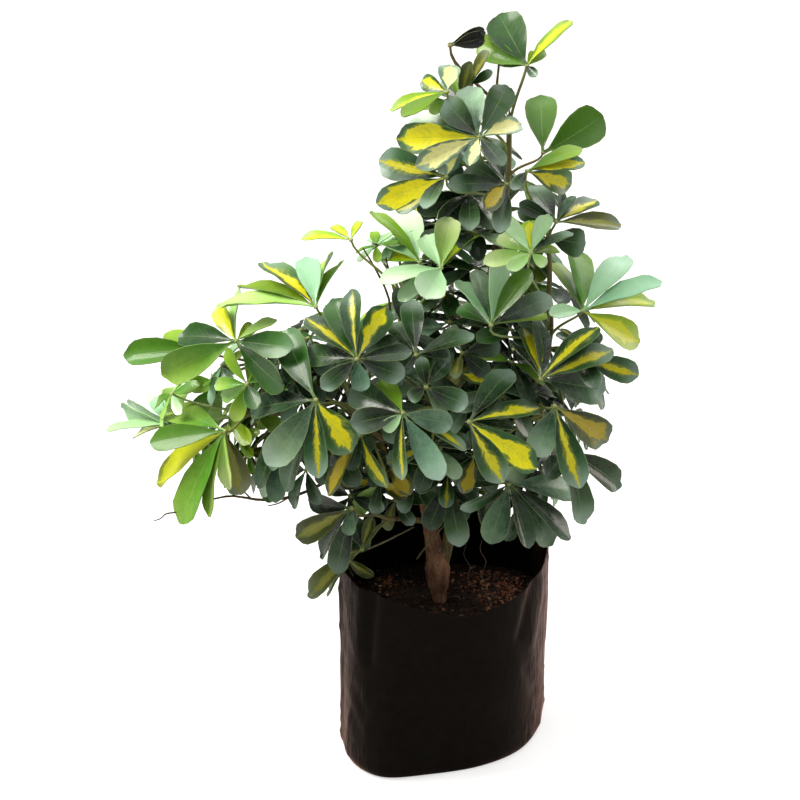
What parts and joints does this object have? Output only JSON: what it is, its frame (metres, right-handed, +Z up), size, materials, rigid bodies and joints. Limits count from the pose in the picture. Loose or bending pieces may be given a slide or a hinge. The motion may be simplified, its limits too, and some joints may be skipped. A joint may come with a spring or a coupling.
{
  "type": "potted umbrella plant",
  "caption": "Variegated dwarf umbrella plant with palmate leaves on a branching woody trunk, standing in potting soil in a black polythene grow bag.",
  "frame": {"origin": "on the floor, at the middle of the bag's foot", "axes": "+Z up, the plant's viewed front faces -Y, +X to the viewer's right"},
  "size_m": [0.551, 0.3521, 0.7526],
  "materials": {
    "film": "black polythene film, soft sheen",
    "soil": "damp crumbly compost",
    "bark": "rough brown bark",
    "leaf": "waxy leaf, green with yellow and mint patches"
  },
  "bodies": {
    "root": {"grow_bag": "film", "potting_soil": "soil", "woody_trunk": "bark", "crown_shoot": "leaf", "upper_right_shoot": "leaf", "heart_shoot": "leaf", "right_upright_shoot": "leaf", "front_left_shoot": "leaf", "front_shoot": "leaf", "front_right_shoot": "leaf", "low_right_shoot": "leaf", "low_left_shoot": "leaf", "left_low_shoot": "leaf", "left_middle_shoot": "leaf", "left_high_shoot": "leaf", "back_left_shoot": "leaf", "back_middle_shoot": "leaf", "back_right_shoot": "leaf", "back_low_shoot": "leaf"}
  },
  "joints": []
}
